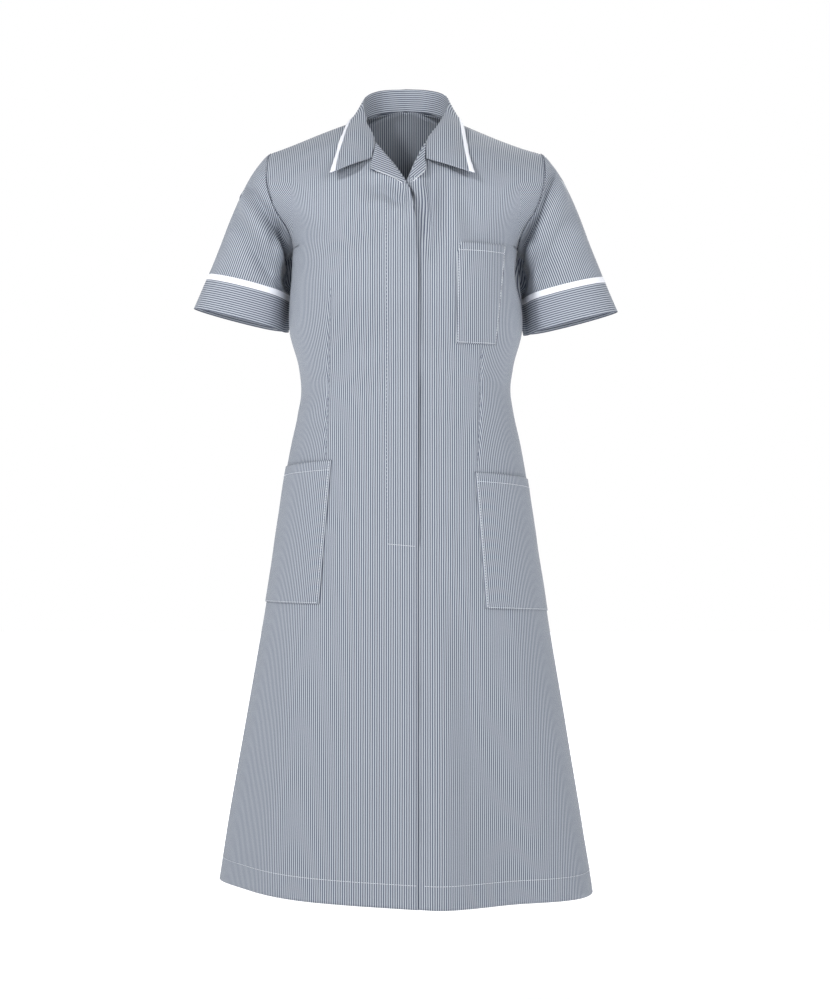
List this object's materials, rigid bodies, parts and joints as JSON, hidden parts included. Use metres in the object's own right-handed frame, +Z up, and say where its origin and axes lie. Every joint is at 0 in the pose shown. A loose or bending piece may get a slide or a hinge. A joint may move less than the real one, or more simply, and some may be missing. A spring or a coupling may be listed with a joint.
{
  "type": "nurse uniform dress",
  "caption": "Short-sleeved uniform dress in fine navy and white stripe: open collar with white tape edge, lapels, lapped front, patch pockets, white-trimmed cuffs, flared skirt, hollow form",
  "frame": {"origin": "where the dress is held: midway between the two shoulder seams, 12 mm below their neck ends", "axes": "+Z up along the length of the dress, -Y out of the front, +X to the wearer's left"},
  "size_m": [0.5716, 0.3328, 1.099],
  "materials": {
    "striped_cloth": "matt poly-cotton, fine navy and white woven stripe",
    "white_tape": "white cotton tape"
  },
  "bodies": {
    "root": {"front_right": "striped_cloth", "front_left": "striped_cloth", "back_right": "striped_cloth", "back_left": "striped_cloth", "sleeve_right": "striped_cloth", "sleeve_left": "striped_cloth", "cuff_right": "striped_cloth", "cuff_left": "striped_cloth", "collar": "striped_cloth", "lapel_right": "striped_cloth", "lapel_left": "striped_cloth", "pocket_breast": "striped_cloth", "pocket_hip_right": "striped_cloth", "pocket_hip_left": "striped_cloth", "cuff_band_right": "white_tape", "cuff_band_left": "white_tape", "collar_tape": "white_tape"}
  },
  "joints": []
}
